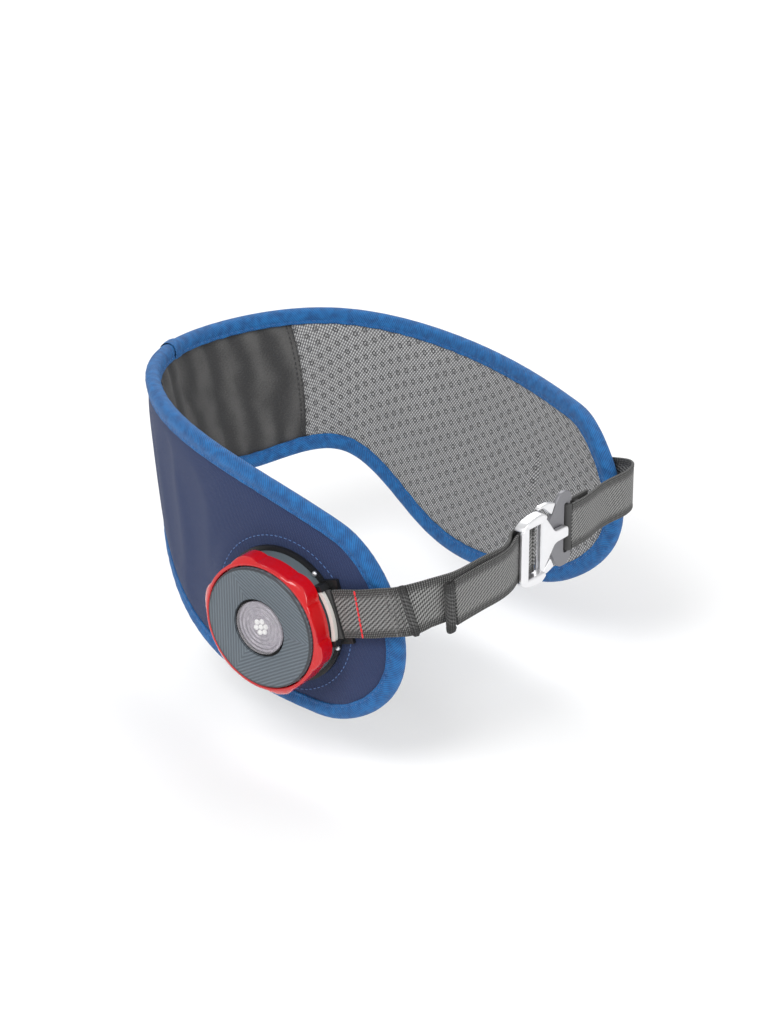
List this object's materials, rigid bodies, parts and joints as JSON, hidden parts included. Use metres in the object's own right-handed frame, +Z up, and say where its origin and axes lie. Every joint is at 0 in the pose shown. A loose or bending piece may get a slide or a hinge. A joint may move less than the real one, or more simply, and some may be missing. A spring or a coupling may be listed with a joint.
{
  "type": "waist belt with rotary strap dial",
  "caption": "Padded curved waist belt with bound edges, a lit rotary dial that winds in a webbing strap, and a hook-and-catch metal buckle.",
  "frame": {"origin": "on the waist axis, level with the belt's lowest edge", "axes": "+Z up; the wearer faces -Y; the wearer's right wing, with the dial, is at -X"},
  "size_m": [0.2358, 0.2728, 0.1273],
  "materials": {
    "neoprene_navy": "knitted face on neoprene",
    "foam": "closed-cell foam",
    "mesh_grey": "spacer mesh with small ring dimples",
    "stretch_charcoal": "gathered stretch cloth",
    "tape_blue": "twill binding tape",
    "webbing_grey": "ribbed webbing",
    "thread_red": "stitched line",
    "thread_grey": "bar tack stitching",
    "black_plastic": "moulded",
    "grey_plastic": "moulded with fine ridges",
    "red_plastic": "glossy moulded",
    "clear_lens": "clear moulded lens",
    "led_lens": "clear epoxy",
    "board": "circuit board",
    "steel": "plain",
    "brass_gear": "machined",
    "silver": "satin forged",
    "anodised_grey": "anodised"
  },
  "bodies": {
    "belt": {"outer_panel": "neoprene_navy", "foam_core": "foam", "lining_right": "mesh_grey", "stretch_panel": "stretch_charcoal", "lining_left": "mesh_grey", "edge_binding": "tape_blue", "backing_plate": "black_plastic", "base_screws": "steel", "dial_base": "black_plastic", "housing": "grey_plastic", "chassis": "black_plastic", "pawl_pin": "steel", "face_plate": "grey_plastic", "battery": "steel", "led_board": "board", "leds": "led_lens", "dome_switch": "steel", "guide_bar": "silver", "guide_lugs": "black_plastic", "guide_rivets": "silver", "strap_inside": "webbing_grey", "belt_strap": "webbing_grey", "strap_return": "webbing_grey", "bar_tacks": "thread_grey"},
    "dial_ring": {"grip_ring": "red_plastic", "crown_gear": "red_plastic"},
    "spool_shaft": {"spool": "steel", "webbing_coil": "webbing_grey", "ratchet_wheel": "steel", "pinion": "brass_gear"},
    "light_button": {"lens": "clear_lens"},
    "ratchet_pawl": {"pawl": "steel"},
    "hook_strap": {"dial_strap": "webbing_grey", "strap_loop": "webbing_grey", "tail_strap": "webbing_grey", "tail_hem": "webbing_grey", "stop_fold": "webbing_grey", "marker_stitch": "thread_red", "hook_plate": "silver"},
    "catch": {"catch_plate": "anodised_grey"}
  },
  "joints": [
    {"name": "ring_turn", "type": "hinge", "parent": "belt", "child": "dial_ring", "pos_m": [-0.10314, -0.05668, 0.04947], "axis": [-0.9877, -0.1564, 0], "continuous": true},
    {"name": "spool_turn", "type": "hinge", "parent": "belt", "child": "spool_shaft", "pos_m": [-0.11163, -0.05803, 0.04947], "axis": [-0.0496, 0.3134, 0.9483], "continuous": true},
    {"name": "light_press", "type": "slide", "parent": "belt", "child": "light_button", "axis": [0.9877, 0.1564, 0], "range_m": [0, 0.0006], "stiffness_N_per_m": 900},
    {"name": "pawl_lift", "type": "hinge", "parent": "belt", "child": "ratchet_pawl", "pos_m": [-0.11021, -0.06702, 0.05251], "axis": [-0.0496, 0.3134, 0.9483], "range_deg": [0, 12], "stiffness_Nm_per_rad": 0.002},
    {"name": "strap_swing", "type": "hinge", "parent": "belt", "child": "hook_strap", "pos_m": [-0.10185, -0.09296, 0.06152], "axis": [0.0496, -0.3134, -0.9483], "range_deg": [0, 55]},
    {"name": "catch_tilt", "type": "hinge", "parent": "belt", "child": "catch", "pos_m": [0.01754, -0.13206, 0.0812], "axis": [0, 0, -1], "range_deg": [0, 35]}
  ],
  "couplings": [
    {"joint": "spool_turn", "follows": "ring_turn", "ratio": -4}
  ]
}
